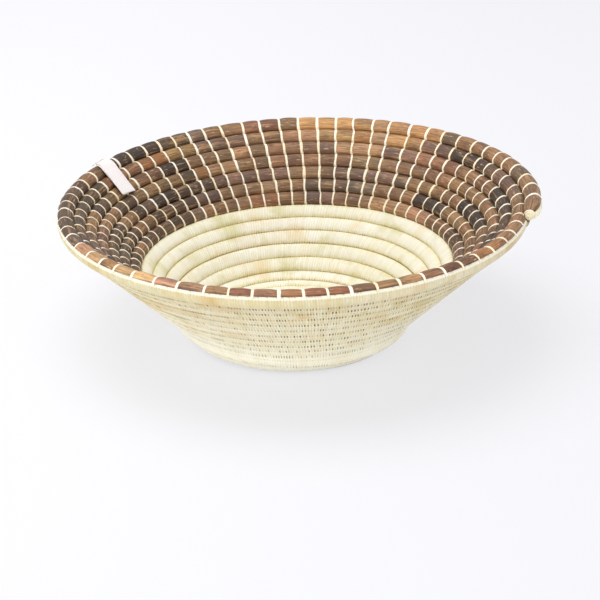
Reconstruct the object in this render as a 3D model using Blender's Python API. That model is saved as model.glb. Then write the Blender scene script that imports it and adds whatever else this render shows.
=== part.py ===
"""A shallow fruit bowl of coiled basketry: one long raffia-bound coil, sewn round and round
from a flat centre, with strips of dark bark laid on the inner face of its upper rows.

Units are metres and degrees. The origin is the centre of the flat underside, with +Z up and
+X towards the end of the coil on the rim. A place along the coil is given in rows: row 0 is
where the coil starts at the centre, and each whole turn outwards and upwards adds 1.
"""

import math

import bmesh
import bpy
from mathutils import Matrix, Vector

# Coil
COIL_PITCH = 0.0093  # from the middle of one row to the middle of the next
ROW_GAP = 0.0003  # left between neighbouring pieces that touch on the real bowl
CURL_TOP_RADIUS = 0.0019  # flat top of the start curl, where it is narrowest
FLOOR_ROWS = 5
WALL_ROWS = 13
SEAM_AZIMUTH = -14.0  # direction in which the coil starts and ends

# Slope of the wall: the angle above level at which a row stands on the row below it
KNEE_ROWS, KNEE_SLOPE = 2, 55.5
LOWER_WALL_ROWS, WALL_SLOPE = 4, 44.0
UPPER_WALL_ROWS, RIM_SLOPE = 10, 39.0

# The hand-made unevenness: rows are thicker and stand steeper on the side of +X
SIDE_SLOPE = 0.7
SIDE_SWELL = 0.034
SIDE_ROWS = 2  # wall rows over which both grow to their full amount

# Bark strips on the inner face of the upper rows
BARK_ROWS = 7
BARK_THICKNESS = 0.0008

# Raffia-bound end of the coil on the rim
RIM_END_LENGTH = 0.010
RIM_END_TIP = 0.45  # size of the blunt tip as a share of the coil
RIM_END_STEPS = 5

# Folded cloth label, sewn to the rim and lying on the inner wall
LABEL_AZIMUTH = 151.2
LABEL_WIDTH = 0.0125
LABEL_LENGTH = 0.030
LABEL_THICKNESS = 0.0009
LABEL_CLEARANCE = 0.0005
LABEL_TOP_ANGLE = 60.0  # how far round the rim its sewn edge lies
LABEL_BEND_STEPS = 3
THREAD_RADIUS = 0.0005
THREAD_SIDES = 8

# Facets
FINE_STATIONS = 36
COARSE_STATIONS = 18
COARSE_ROWS = 3

# Corners of the coil's section, counted from its inner face. The pair about 180 degrees
# makes the flat that the floor rows stand on.
FLAT_HALF_ANGLE = 18
SECTION_ANGLES = (0, 45, 90, 135, 180 - FLAT_HALF_ANGLE, 180 + FLAT_HALF_ANGLE, 225, 270, 315)
SECTION_CORNER = 45
BARK_EDGE_ANGLE = 50  # outer edges of a bark strip, which taper to the coil
RIM_WRAP_ANGLE = 90  # how far the top strip wraps over the rim
SMOOTH_ANGLE = 40

# Sizes that follow
COIL_RADIUS = (COIL_PITCH - ROW_GAP) / 2
BARK_SEAT = COIL_RADIUS + ROW_GAP / math.cos(math.radians(SECTION_CORNER / 2))
BARK_FACE = BARK_SEAT + BARK_THICKNESS
START_RADIUS = CURL_TOP_RADIUS + COIL_RADIUS + ROW_GAP + COIL_RADIUS
FLOOR_HEIGHT = COIL_RADIUS * math.cos(math.radians(FLAT_HALF_ANGLE))
TOTAL_ROWS = FLOOR_ROWS + WALL_ROWS

RAFFIA = ("raffia", (0.80, 0.72, 0.50), 0.75)
BARK = ("bark", (0.20, 0.09, 0.045), 0.65)
RIBBON = ("ribbon", (0.88, 0.85, 0.82), 0.85)
THREAD = ("thread", (0.85, 0.80, 0.70), 0.80)


def clear_scene():
    for obj in list(bpy.data.objects):
        bpy.data.objects.remove(obj)


def material(spec):
    name, colour, roughness = spec
    found = bpy.data.materials.get(name)
    if found:
        return found
    made = bpy.data.materials.new(name)
    made.use_nodes = True
    shader = made.node_tree.nodes["Principled BSDF"]
    shader.inputs["Base Color"].default_value = (*colour, 1)
    shader.inputs["Roughness"].default_value = roughness
    shader.inputs["Metallic"].default_value = 0
    made.diffuse_color = (*colour, 1)
    return made


def add_object(name, bm, spec):
    """Turns a bmesh into a named object with its own material, faces outwards."""
    bmesh.ops.recalc_face_normals(bm, faces=bm.faces)
    mesh = bpy.data.meshes.new(name)
    bm.to_mesh(mesh)
    bm.free()
    mesh.shade_smooth()
    mesh.set_sharp_from_angle(angle=math.radians(SMOOTH_ANGLE))
    mesh.materials.append(material(spec))
    obj = bpy.data.objects.new(name, mesh)
    bpy.context.collection.objects.link(obj)
    return obj


def sweep(loops):
    """A closed solid through equal closed loops of points, with a cap on each end."""
    bm = bmesh.new()
    rings = [[bm.verts.new(point) for point in loop] for loop in loops]
    count = len(rings[0])
    for ring, following in zip(rings, rings[1:]):
        for i in range(count):
            j = (i + 1) % count
            bm.faces.new((ring[i], ring[j], following[j], following[i]))
    bm.faces.new(rings[0])
    bm.faces.new(rings[-1])
    return bm


# The run of the coil


def azimuth_at(row):
    """The coil runs clockwise, seen from above, as it goes outwards."""
    return math.radians(SEAM_AZIMUTH) - math.tau * row


def side_share(row, azimuth):
    grown = (row - FLOOR_ROWS) / SIDE_ROWS
    return math.cos(azimuth) * min(max(grown, 0), 1)


def row_pitch(row, azimuth):
    return COIL_PITCH * (1 + SIDE_SWELL * side_share(row, azimuth))


def slope_at(row, azimuth):
    """The angle at which the coil at this row stands on the row below, in radians."""
    knots = (
        (0, 0),
        (KNEE_ROWS, KNEE_SLOPE),
        (LOWER_WALL_ROWS, WALL_SLOPE),
        (UPPER_WALL_ROWS, WALL_SLOPE),
        (WALL_ROWS, RIM_SLOPE),
    )
    wall_row = min(max(row - FLOOR_ROWS, 0), WALL_ROWS)
    slope = RIM_SLOPE
    for (low, low_slope), (high, high_slope) in zip(knots, knots[1:]):
        if low <= wall_row < high:
            share = (wall_row - low) / (high - low)
            slope = low_slope + share * (high_slope - low_slope)
    return math.radians(slope + SIDE_SLOPE * side_share(row, azimuth))


def coil_centre(row):
    """Middle of the coil: each wall row lies one pitch from the row that it stands on."""
    azimuth = azimuth_at(row)
    rows_up = max(0, math.ceil(row - FLOOR_ROWS))
    radius = START_RADIUS + COIL_PITCH * (row - rows_up)
    height = FLOOR_HEIGHT
    for step in reversed(range(rows_up)):
        here = row - step
        stride = (row_pitch(here - 1, azimuth) + row_pitch(here, azimuth)) / 2
        radius += stride * math.cos(slope_at(here, azimuth))
        height += stride * math.sin(slope_at(here, azimuth))
    return Vector((radius * math.cos(azimuth), radius * math.sin(azimuth), height))


def wall_axes(row):
    """Unit vectors at this row: up the wall, and square to it towards the inside."""
    azimuth = azimuth_at(row)
    slope = slope_at(row, azimuth)
    outwards = Vector((math.cos(azimuth), math.sin(azimuth), 0))
    upwards = Vector((0, 0, 1))
    up_wall = outwards * math.cos(slope) + upwards * math.sin(slope)
    inwards = upwards * math.cos(slope) - outwards * math.sin(slope)
    return up_wall, inwards


def swell_at(row):
    """The coil's thickness at this row as a share of COIL_RADIUS."""
    return (row_pitch(row, azimuth_at(row)) - ROW_GAP) / 2 / COIL_RADIUS


def section(row, corners, size=1.0):
    """The points (angle from the inner face, radius) about the coil's middle at this row.

    A size below 1 shrinks the section and keeps it seated on the row below."""
    up_wall, inwards = wall_axes(row)
    swell = swell_at(row)
    middle = coil_centre(row) - up_wall * COIL_RADIUS * swell * (1 - size)
    return [
        middle
        + up_wall * size * swell * radius * math.sin(math.radians(angle))
        + inwards * size * swell * radius * math.cos(math.radians(angle))
        for angle, radius in corners
    ]


def share_of_turn(length, row):
    """A length along the coil at this row, as a share of one turn."""
    middle = coil_centre(row)
    return length / (math.tau * math.hypot(middle.x, middle.y))


def row_stations(number):
    """Places along turn number 1, 2, 3 ... at which its section is set."""
    count = COARSE_STATIONS if number <= COARSE_ROWS else FINE_STATIONS
    start = number - 1
    end = number
    if number == TOTAL_ROWS:
        end -= share_of_turn(RIM_END_LENGTH, number)
    gap = share_of_turn(ROW_GAP, start)
    between = [start + i / count for i in range(1, count)]
    return [start + gap, *[row for row in between if row < end - gap], end]


# The pieces


def coil_corners():
    return [(angle, COIL_RADIUS) for angle in SECTION_ANGLES]


def bark_corners(top_angle, top_edge_angle):
    """A thin crescent on the coil's inner face, from its lower corner up to top_angle."""
    steps = range(-SECTION_CORNER, top_angle + 1, SECTION_CORNER)
    inner = [(angle, BARK_SEAT) for angle in steps]
    face_angles = [-BARK_EDGE_ANGLE, *steps[1:-1], top_edge_angle]
    return [*[(angle, BARK_FACE) for angle in face_angles], *reversed(inner)]


def make_start_curl():
    """The tight first curl, filled to the axis, whose step meets the coil's first end."""
    bm = bmesh.new()
    bottom = bm.verts.new((0, 0, 0))
    top = bm.verts.new((0, 0, FLOOR_HEIGHT + COIL_RADIUS))
    outer_half = [angle for angle in SECTION_ANGLES if angle < 180]
    rings = []
    for i in range(COARSE_STATIONS + 1):
        turn = i / COARSE_STATIONS
        azimuth = azimuth_at(turn)
        middle = CURL_TOP_RADIUS + COIL_PITCH * turn
        ring = []
        for angle in outer_half:
            radius = middle + COIL_RADIUS * math.sin(math.radians(angle))
            height = FLOOR_HEIGHT + COIL_RADIUS * math.cos(math.radians(angle))
            point = (radius * math.cos(azimuth), radius * math.sin(azimuth), height)
            ring.append(bm.verts.new(point))
        rings.append(ring)
    for ring, following in zip(rings, rings[1:]):
        for i in range(len(ring) - 1):
            bm.faces.new((ring[i], ring[i + 1], following[i + 1], following[i]))
        bm.faces.new((top, ring[0], following[0]))
        bm.faces.new((bottom, following[-1], ring[-1]))
    bm.faces.new([top, *rings[0], bottom, *reversed(rings[-1])])
    return add_object("start_curl", bm, RAFFIA)


def make_coil_row(number):
    loops = [section(row, coil_corners()) for row in row_stations(number)]
    return add_object(f"coil_row_{number:02d}", sweep(loops), RAFFIA)


def make_bark_strip(number):
    top_angle, top_edge_angle = SECTION_CORNER, BARK_EDGE_ANGLE
    if number == TOTAL_ROWS:
        top_angle, top_edge_angle = RIM_WRAP_ANGLE, RIM_WRAP_ANGLE
    corners = bark_corners(top_angle, top_edge_angle)
    loops = [section(row, corners) for row in row_stations(number)]
    return add_object(f"bark_strip_{number:02d}", sweep(loops), BARK)


def make_rim_end():
    """The bound end of the coil, which narrows to a blunt tip on the row below."""
    start = row_stations(TOTAL_ROWS)[-1] + share_of_turn(ROW_GAP, TOTAL_ROWS)
    loops = []
    for i in range(RIM_END_STEPS + 1):
        turn = math.radians(90 * i / RIM_END_STEPS)
        row = start + (TOTAL_ROWS - start) * math.sin(turn)
        size = RIM_END_TIP + (1 - RIM_END_TIP) * math.cos(turn)
        loops.append(section(row, coil_corners(), size))
    return add_object("rim_end_binding", sweep(loops), RAFFIA)


def label_row():
    """The row of the coil on the rim at the label's place."""
    turn = (SEAM_AZIMUTH - LABEL_AZIMUTH) % 360 / 360
    return TOTAL_ROWS - 1 + turn


def label_frame():
    """Axes along the rim, up the wall and off the wall, from the rim row's middle."""
    row = label_row()
    middle = coil_centre(row)
    rows_covered = round(LABEL_LENGTH / COIL_PITCH)
    up_wall = (middle - coil_centre(row - rows_covered)).normalized()
    azimuth = azimuth_at(row)
    along_rim = Vector((math.sin(azimuth), -math.cos(azimuth), 0))
    off_wall = along_rim.cross(up_wall)
    highest = max(
        (coil_centre(row - i) - middle).dot(off_wall) for i in range(rows_covered + 1)
    )
    return middle, Matrix((along_rim, up_wall, off_wall)).transposed(), highest


def make_label():
    """The label, hinged on its sewn edge, and the thread that holds that edge."""
    middle, axes, highest = label_frame()
    seat = BARK_FACE * swell_at(label_row()) + highest
    bend = seat + LABEL_CLEARANCE + LABEL_THICKNESS / 2
    top = math.radians(LABEL_TOP_ANGLE)
    hinge = Vector((0, bend * math.sin(top), bend * math.cos(top)))

    holder = bpy.data.objects.new("label_hinge", None)
    holder.location = middle + axes @ hinge
    holder.rotation_euler = axes.to_euler()
    bpy.context.collection.objects.link(holder)

    outer, inner = [], []
    for i in range(LABEL_BEND_STEPS + 1):
        angle = top * (1 - i / LABEL_BEND_STEPS)
        direction = Vector((0, math.sin(angle), math.cos(angle)))
        outer.append(direction * (bend + LABEL_THICKNESS / 2) - hinge)
        inner.append(direction * (bend - LABEL_THICKNESS / 2) - hinge)
    straight = Vector((0, bend * top - LABEL_LENGTH, 0))
    outer.append(outer[-1] + straight)
    inner.append(inner[-1] + straight)
    outline = [*outer, *reversed(inner)]
    half_width = Vector((LABEL_WIDTH / 2, 0, 0))
    sides = [[point + side for point in outline] for side in (-half_width, half_width)]
    label = add_object("label", sweep(sides), RIBBON)
    label.parent = holder

    bm = bmesh.new()
    bmesh.ops.create_cone(
        bm,
        cap_ends=True,
        segments=THREAD_SIDES,
        radius1=THREAD_RADIUS,
        radius2=THREAD_RADIUS,
        depth=LABEL_WIDTH,
        matrix=Matrix.Rotation(math.radians(90), 4, "Y"),
    )
    thread = add_object("label_thread", bm, THREAD)
    # Half the label's thickness of room lets its edge swing past the thread
    spacing = LABEL_THICKNESS / 2 + ROW_GAP + THREAD_RADIUS
    reach = seat + LABEL_CLEARANCE + THREAD_RADIUS
    beyond = top + spacing / reach
    place = Vector((0, reach * math.sin(beyond), reach * math.cos(beyond)))
    thread.location = place - hinge
    thread.parent = holder


def main():
    clear_scene()
    make_start_curl()
    for number in range(1, TOTAL_ROWS + 1):
        make_coil_row(number)
    for number in range(TOTAL_ROWS - BARK_ROWS + 1, TOTAL_ROWS + 1):
        make_bark_strip(number)
    make_rim_end()
    make_label()


main()
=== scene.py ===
from math import cos, pi, radians, sin, tan, tau

import bpy
import numpy as np
from mathutils import Euler, Matrix, Vector


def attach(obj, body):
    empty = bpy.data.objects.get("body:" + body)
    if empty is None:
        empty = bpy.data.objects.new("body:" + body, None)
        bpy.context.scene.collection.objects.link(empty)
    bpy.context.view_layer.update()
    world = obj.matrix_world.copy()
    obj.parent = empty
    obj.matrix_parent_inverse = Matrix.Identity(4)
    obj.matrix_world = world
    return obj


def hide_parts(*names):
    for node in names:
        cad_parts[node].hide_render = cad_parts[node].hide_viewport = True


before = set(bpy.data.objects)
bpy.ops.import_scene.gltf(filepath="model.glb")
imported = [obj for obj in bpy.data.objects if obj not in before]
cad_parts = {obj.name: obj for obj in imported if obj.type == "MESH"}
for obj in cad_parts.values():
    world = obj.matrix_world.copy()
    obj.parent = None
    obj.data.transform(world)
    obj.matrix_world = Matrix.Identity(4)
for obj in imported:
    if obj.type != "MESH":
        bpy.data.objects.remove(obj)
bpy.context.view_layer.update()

# The coil and the label, with the same sizes as the CAD model. Metres and degrees. A place
# along the coil is given in rows: row 0 is where it starts on the floor, and each whole turn
# outwards adds 1.
COIL_PITCH = 0.0093
ROW_GAP = 0.0003
CURL_TOP_RADIUS = 0.0019
FLOOR_ROWS, WALL_ROWS = 5, 13
TOTAL_ROWS = FLOOR_ROWS + WALL_ROWS
SEAM_AZIMUTH = -14.0
SLOPE_ROWS = (0, 2, 4, 10, 13)
SLOPES = (0, 55.5, 44, 44, 39)
SIDE_SLOPE, SIDE_SWELL, SIDE_ROWS = 0.7, 0.034, 2
BARK_ROWS = 7
BARK_THICKNESS = 0.0008
RIM_END_LENGTH, RIM_END_TIP = 0.010, 0.45
COIL_RADIUS = (COIL_PITCH - ROW_GAP) / 2
SECTION_CORNER, FLAT_HALF_ANGLE = 45, 18
BARK_SEAT = COIL_RADIUS + ROW_GAP / cos(radians(SECTION_CORNER / 2))
BARK_FACE = BARK_SEAT + BARK_THICKNESS
START_RADIUS = CURL_TOP_RADIUS + 2 * COIL_RADIUS + ROW_GAP
FLOOR_HEIGHT = COIL_RADIUS * cos(radians(FLAT_HALF_ANGLE))
FIRST_BARK_ROW = TOTAL_ROWS - BARK_ROWS + 1
LABEL_AZIMUTH = 151.2
LABEL_WIDTH, LABEL_LENGTH = 0.0125, 0.030
LABEL_THICKNESS, LABEL_CLEARANCE = 0.0009, 0.0005
LABEL_TOP_ANGLE = 60.0


def azimuth_at(row):
    return radians(SEAM_AZIMUTH) - tau * row


def side_share(row, azimuth):
    return np.cos(azimuth) * np.clip((row - FLOOR_ROWS) / SIDE_ROWS, 0, 1)


def pitch_at(row, azimuth):
    return COIL_PITCH * (1 + SIDE_SWELL * side_share(row, azimuth))


def slope_at(row, azimuth):
    slope = np.interp(np.clip(row - FLOOR_ROWS, 0, WALL_ROWS), SLOPE_ROWS, SLOPES)
    return np.radians(slope + SIDE_SLOPE * side_share(row, azimuth))


def coil_middle(row):
    """Distance from the axis and height of the coil's middle at these rows."""
    azimuth = azimuth_at(row)
    rows_up = np.maximum(0, np.ceil(row - FLOOR_ROWS))
    radius = START_RADIUS + COIL_PITCH * (row - rows_up)
    height = np.full_like(radius, FLOOR_HEIGHT)
    for step in range(WALL_ROWS + 2):
        here = row - step
        stride = (pitch_at(here - 1, azimuth) + pitch_at(here, azimuth)) / 2
        stride = np.where(step < rows_up, stride, 0)
        radius = radius + stride * np.cos(slope_at(here, azimuth))
        height = height + stride * np.sin(slope_at(here, azimuth))
    return radius, height


def on_coil(row, up, inward):
    """Points beside the coil's middle: up the wall, and inwards square to the wall."""
    row, up, inward = np.broadcast_arrays(np.asarray(row, float), up, inward)
    azimuth = azimuth_at(row)
    slope = slope_at(row, azimuth)
    radius, height = coil_middle(row)
    outwards = radius + up * np.cos(slope) - inward * np.sin(slope)
    outwards = np.maximum(outwards, 0)
    level = height + up * np.sin(slope) + inward * np.cos(slope)
    return np.stack((outwards * np.cos(azimuth), outwards * np.sin(azimuth), level), -1)


def half_pitch(row):
    return pitch_at(np.asarray(row, float), azimuth_at(row)) / 2


def turn_share(length, row):
    """A length along the coil as a share of one turn."""
    return length / (tau * coil_middle(np.asarray(row, float))[0])


RIM_END_SHARE = float(turn_share(RIM_END_LENGTH, TOTAL_ROWS))
LAST_TIE = TOTAL_ROWS - 0.015  # past this place the coil's bound end has no tie stitches


def row_at(number, azimuth):
    """The row of turn number at an azimuth in degrees."""
    return number - 1 + ((SEAM_AZIMUTH - azimuth) % 360) / 360


# Mesh making


VALUE_KINDS = {1: ("FLOAT", "value"), 3: ("FLOAT_VECTOR", "vector"), 4: ("FLOAT_COLOR", "color")}


def tube_faces(points, stations, corners):
    """The sides of a tube through these points, row by row, and the cap on each end."""
    index = np.arange(len(points)).reshape(stations, corners)
    following = np.roll(index, -1, axis=1)
    quads = (index[:-1], following[:-1], following[1:], index[1:])
    quads = np.stack([q.ravel() for q in quads], -1)
    a, b, c, d = (points[quads[:, i]] - points.mean(0) for i in range(4))
    caps = np.stack((index[0][::-1], index[-1]))
    # A volume below zero means that the faces look inwards
    if np.einsum("ij,ij->", a, np.cross(b, c) + np.cross(c, d)) < 0:
        return quads[:, ::-1], caps[:, ::-1]
    return quads, caps


def new_object(name, data):
    obj = bpy.data.objects.new(name, data)
    bpy.context.collection.objects.link(obj)
    return obj


def make_piece(name, material, tubes, body="bowl"):
    """One mesh of closed tubes, each given as rows of points (stations, corners, 3) and the
    values that its points keep."""
    points, sides, ends, count = [], [], [], 0
    for grid, _ in tubes:
        points.append(grid.reshape(-1, 3))
        quads, caps = tube_faces(points[-1], *grid.shape[:2])
        sides += (quads + count).tolist()
        ends += (caps + count).tolist()
        count += len(points[-1])
    mesh = bpy.data.meshes.new(name)
    mesh.from_pydata(np.concatenate(points).tolist(), [], sides + ends)
    for key in tubes[0][1]:
        data = [np.reshape(values[key], (grid[..., 0].size, -1)) for grid, values in tubes]
        data = np.concatenate(data)
        kind, field = VALUE_KINDS[data.shape[1]]
        mesh.attributes.new(key, kind, "POINT").data.foreach_set(field, data.ravel())
    mesh.shade_smooth()
    mesh.materials.append(material)
    obj = new_object(name, mesh)
    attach(obj, body)
    return obj


# Materials


def srgb(red, green, blue):
    share = np.array((red, green, blue)) / 255
    linear = np.where(share <= 0.04045, share / 12.92, ((share + 0.055) / 1.055) ** 2.4)
    return (*linear.tolist(), 1.0)


PLAIN = (1.0, 1.0, 1.0, 1.0)  # leaves a colour that it multiplies as it is


class Look:
    """The nodes of a new material or of a world, added and linked by name."""

    def __init__(self, name="", world=None):
        self.owner = world or bpy.data.materials.new(name)
        self.owner.use_nodes = True
        self.tree = self.owner.node_tree
        self.shader = self.tree.nodes["Background" if world else "Principled BSDF"]

    def put(self, socket, value):
        if isinstance(value, bpy.types.NodeSocket):
            self.tree.links.new(value, socket)
        else:
            socket.default_value = value

    def node(self, kind, inputs=(), **settings):
        made = self.tree.nodes.new("ShaderNode" + kind)
        for key, value in settings.items():
            setattr(made, key, value)
        for key, value in dict(inputs).items():
            self.put(made.inputs[key], value)
        return made

    def filled(self, made, values):
        """The first output of a node whose inputs take these values in order."""
        for socket, value in zip(made.inputs, values):
            self.put(socket, value)
        return made.outputs[0]

    def math(self, operation, *values):
        return self.filled(self.node("Math", operation=operation), values)

    def times(self, first, *others):
        for value in others:
            first = self.math("MULTIPLY", first, value)
        return first

    def step(self, value, low, high, to_low, to_high):
        made = self.node("MapRange", interpolation_type="SMOOTHSTEP")
        return self.filled(made, (value, low, high, to_low, to_high))

    def rise(self, value, low, high, top=1.0):
        return self.step(value, low, high, 0.0, top)

    def fade(self, value, low, high, top=1.0):
        return self.step(value, low, high, top, 0.0)

    def layers(self, colour, *layers):
        """Lays colours over the first one in order, each given as (share, colour, blend)."""
        for share, over, *blend in layers:
            made = self.node("Mix", data_type="RGBA", blend_type=blend[0] if blend else "MIX")
            # A mix node's inputs 0, 6 and 7 are its share and its two colours
            for index, value in zip((0, 6, 7), (share, colour, over)):
                self.put(made.inputs[index], value)
            colour = made.outputs[2]
        return colour

    def ramp(self, value, stops, flat=False):
        made = self.node("ValToRGB", {"Fac": value})
        ramp = made.color_ramp
        ramp.interpolation = "CONSTANT" if flat else "LINEAR"
        while len(ramp.elements) < len(stops):
            ramp.elements.new(1)
        for element, (place, colour) in zip(ramp.elements, stops.items()):
            element.position = place
            element.color = colour
        return made.outputs["Color"]

    def kept(self, name, output="Fac"):
        """What the mesh keeps under this name: one number, or its Vector or Color output."""
        return self.node("Attribute", attribute_name=name).outputs[output]

    def split(self, vector):
        return self.node("SeparateXYZ", {"Vector": vector}).outputs

    def vector(self, *parts):
        """Each of the three parts is a number, a value or a pair of a value and its factor."""
        parts = [self.times(*part) if isinstance(part, tuple) else part for part in parts]
        return self.filled(self.node("CombineXYZ"), parts)

    def noise(self, vector, scale=1.0, detail=2.0, roughness=0.5):
        inputs = {"Vector": vector, "Scale": scale, "Detail": detail, "Roughness": roughness}
        return self.node("TexNoise", inputs).outputs["Fac"]

    def chance(self, *parts):
        inputs = {"Vector": self.vector(*parts)}
        return self.node("TexWhiteNoise", inputs, noise_dimensions="3D").outputs["Value"]

    def finish(self, colour, roughness, height, distance, strength, specular=0.5):
        """Joins the colour, the roughness and a relief to the shader."""
        self.shader.inputs["Specular IOR Level"].default_value = specular
        relief = {"Height": height, "Distance": distance, "Strength": strength}
        normal = self.node("Bump", relief).outputs["Normal"]
        for name, value in (("Base Color", colour), ("Roughness", roughness), ("Normal", normal)):
            self.put(self.shader.inputs[name], value)
        return self.owner


STRAND_COLOURS = {
    0.00: srgb(249, 245, 222), 0.22: srgb(246, 238, 204), 0.42: srgb(252, 250, 236),
    0.60: srgb(242, 235, 198), 0.74: srgb(247, 242, 222), 0.85: srgb(238, 233, 200),
    0.93: srgb(243, 231, 212),
}
STITCH_COLOURS = {
    0.0: srgb(240, 230, 192), 0.3: srgb(248, 242, 214), 0.7: srgb(251, 248, 230),
    1.0: srgb(254, 252, 242),
}
PATCH_COLOURS = {0.30: srgb(228, 226, 190), 0.44: PLAIN, 0.57: PLAIN, 0.70: srgb(250, 236, 214)}
RUN_COLOURS = {
    0.30: srgb(236, 234, 214), 0.42: PLAIN, 0.54: PLAIN, 0.62: srgb(248, 236, 218),
    0.74: srgb(240, 222, 200),
}
STRAND_STITCHES = 29  # how many stitches a strand of raffia lasts for
WRAPS_ROW = 40.0  # the row number that the wraps round the coil's end carry
NO_HEM = 0.01  # the hem value where there are no needle holes below


def raffia_base(look, stitch, row):
    """A colour for each strand of raffia, mixed with one of each stitch's own."""
    strand = look.math("ADD", look.times(stitch, 1 / STRAND_STITCHES), look.times(row, 0.37))
    strand = look.chance(look.math("FLOOR", strand), row, 3.7)
    own = look.chance(look.math("FLOOR", stitch), row, 1.3)
    colour = look.ramp(strand, STRAND_COLOURS, flat=True)
    return look.layers(colour, (0.5, look.ramp(own, STITCH_COLOURS)))


def raffia_look():
    """Close raffia stitches. weave holds (stitches counted along the row, share of the way
    from the inner face round to the outer one, row number) and hem the distance up from the
    needle holes in the row below, in metres, or NO_HEM."""
    look = Look("raffia_stitches")
    stitch, around, row = look.split(look.kept("weave", "Vector"))
    hem = look.kept("hem")
    place = look.node("TexCoord").outputs["Object"]
    off_middle = look.math("SUBTRACT", look.math("FRACT", stitch), 0.5)
    side = look.times(look.math("ABSOLUTE", off_middle), 2.0)
    groove = look.rise(side, 0.66, 1.0)
    outside = look.rise(around, 0.48, 0.54)
    inner = look.fade(around, 0.48, 0.52)
    crease = look.math("ABSOLUTE", look.math("SUBTRACT", around, 0.49))
    below_rim = look.fade(row, TOTAL_ROWS - 0.6, TOTAL_ROWS - 0.4)
    fibre = look.noise(look.vector((stitch, 7), (around, 3.2), (row, 5.1)), detail=3, roughness=0.6)
    patch = look.ramp(look.noise(place, scale=42, detail=3), PATCH_COLOURS)
    run = look.noise(look.vector((stitch, 0.075), (row, 4.9), 6.0), detail=3)
    spot = look.chance(look.math("ROUND", stitch), row, 9.1)
    hole_depth_noise = look.noise(look.vector((stitch, 0.11), (row, 7.3), 2.0))
    # painted shade in the needle holes along the inner creases
    dotted = look.times(
        look.rise(side, 0.50, 0.85),
        look.rise(spot, 0.25, 0.60),
        look.step(hole_depth_noise, 0.40, 0.56, 0.35, 1.0),
        look.fade(crease, 0.11, 0.22, 0.80),
    )
    # painted shade on the raffia lying in the creases under the bark
    covered = look.times(
        look.rise(row, FIRST_BARK_ROW - 0.6, FIRST_BARK_ROW - 0.4),
        look.fade(around, 0.50, 0.55),
        look.fade(row, TOTAL_ROWS, WRAPS_ROW),
    )
    # Outside, the row above is sewn through each row's shoulder, which leaves slits there, some
    # deeper than others; their darkness is painted shade
    shoulder = look.times(
        look.rise(around, 0.70, 0.722),
        look.fade(around, 0.84, 0.94),
        look.rise(hem, 0.90 * NO_HEM, 0.98 * NO_HEM),
        below_rim,
    )
    ends = look.fade(hem, 0.0006, 0.0022, 0.75)
    slit = look.times(
        look.math("MAXIMUM", shoulder, ends),
        look.rise(side, 0.44, 0.74),
        look.step(spot, 0.1, 0.8, 0.16, 1.0),
        look.step(hole_depth_noise, 0.36, 0.58, 0.62, 1.0),
        look.step(row, 5.0, 12.0, 0.45, 1.0),
    )
    shade = look.math("MAXIMUM", look.fade(crease, 0.02, 0.085, 0.38), dotted)
    # painted shadow line along each row's hem and shoulder
    line = look.math("MAXIMUM", look.fade(hem, 0.0002, 0.0010, 0.18), look.times(shoulder, 0.10))
    # painted highlight just under the rim's bark
    edge = look.times(
        look.math("SUBTRACT", 1.0, below_rim),
        look.rise(around, 0.50, 0.52),
        look.fade(around, 0.60, 0.68, 0.75),
    )
    # painted contact shadow on the outside, just above the table
    contact_shadow = look.times(look.fade(look.split(place)["Z"], 0.0004, 0.0024, 0.75), outside)

    colour = look.layers(
        raffia_base(look, stitch, row),
        # Inside, a painted highlight along the middle of each row, where it catches the light
        (look.times(look.rise(crease, 0.22, 0.40, 0.45), inner), srgb(255, 254, 247)),
        # Here and there the raffia is greener or redder, and more so inside
        (look.step(outside, 0.0, 1.0, 0.8, 0.4), patch, "MULTIPLY"),
        # Outside, whole runs of stitches are greyer, greener or pinker than their neighbours
        (look.times(outside, 0.9), look.ramp(run, RUN_COLOURS), "MULTIPLY"),
        (1.0, look.ramp(fibre, {0.3: srgb(238, 233, 216), 0.62: PLAIN}), "MULTIPLY"),
        # painted shade in the grooves between stitches
        (look.times(groove, 0.24), srgb(196, 172, 116)),
        # Painted light: low down on the outside the raffia is made paler, standing in for light
        # thrown up from the table
        (look.times(look.fade(row, 5.0, 14.0, 0.85), outside), srgb(254, 252, 236)),
        # Painted shade round each row's crease inside, broad and olive brown, with a darker line
        # and dotted needle holes in it, and painted shade on the upper rows under the bark
        (look.times(look.fade(crease, 0.05, 0.24, 0.46), inner), srgb(226, 213, 150)),
        (shade, srgb(170, 140, 66)),
        (look.times(covered, 0.92), srgb(58, 40, 30)),
        # painted shade in the slits and a painted shadow line along each hem
        (slit, srgb(58, 42, 22)),
        (line, srgb(170, 146, 96)),
        # Painted shade: the outside rows are made a little darker towards the rim
        (look.times(look.rise(row, 7.0, 19.0, 0.70), outside), srgb(208, 200, 180), "MULTIPLY"),
        # Painted highlight: just under the rim's bark the raffia is made bright
        (edge, srgb(253, 248, 228)),
        # Painted shadow: the foot is darkened where it stands on the table
        (contact_shadow, srgb(122, 100, 68)),
    )
    height = look.math("SUBTRACT", look.times(fibre, 0.35), look.times(groove, 0.8))
    height = look.math("SUBTRACT", height, slit)
    roughness = look.step(fibre, 0.2, 0.8, 0.48, 0.70)
    return look.finish(colour, roughness, height, 0.00020, 0.7, specular=0.35)


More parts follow.
